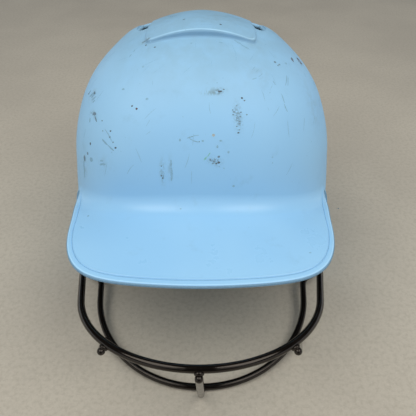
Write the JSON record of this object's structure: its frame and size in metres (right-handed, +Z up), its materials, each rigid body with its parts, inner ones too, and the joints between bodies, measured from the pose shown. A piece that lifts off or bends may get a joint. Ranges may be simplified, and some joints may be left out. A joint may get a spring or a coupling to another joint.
{
  "type": "softball batting helmet",
  "caption": "Hard-shell batting helmet with a bill, a raised vented crown panel, two ear flaps and a bolted wire face guard over a padded foam liner, standing on its ear flaps",
  "frame": {"origin": "centre of the bounding box in plan, on the plane the helmet stands on", "axes": "+Z up, the face and the bill toward -Y, the back of the head toward +Y, the wearer's left toward +X; the helmet leans back 11 degrees as it stands on its ear flaps"},
  "size_m": [0.2418, 0.3574, 0.2238],
  "materials": {
    "shell_blue": "satin moulded plastic",
    "liner_foam": "closed-cell foam",
    "pad_cloth": "knitted cover over foam",
    "coated_wire": "satin vinyl coat over steel wire",
    "clip_plastic": "moulded",
    "steel": "zinc plated"
  },
  "bodies": {
    "root": {"shell": "shell_blue", "crown_liner": "liner_foam", "front_liner": "liner_foam", "rear_liner": "liner_foam", "left_liner": "liner_foam", "right_liner": "liner_foam", "crown_pad": "pad_cloth", "forehead_pad": "pad_cloth", "nape_pad": "pad_cloth", "left_temple_pad": "pad_cloth", "right_temple_pad": "pad_cloth", "left_ear_pad": "pad_cloth", "right_ear_pad": "pad_cloth", "upper_bar": "coated_wire", "lower_bar": "coated_wire", "centre_strut": "coated_wire", "left_strut": "coated_wire", "right_strut": "coated_wire", "upper_left_clip": "clip_plastic", "upper_right_clip": "clip_plastic", "lower_left_clip": "clip_plastic", "lower_right_clip": "clip_plastic", "guard_screws": "steel", "guard_washers": "steel", "guard_nuts": "steel", "strap_studs": "steel", "stud_rivets": "steel"}
  },
  "joints": []
}
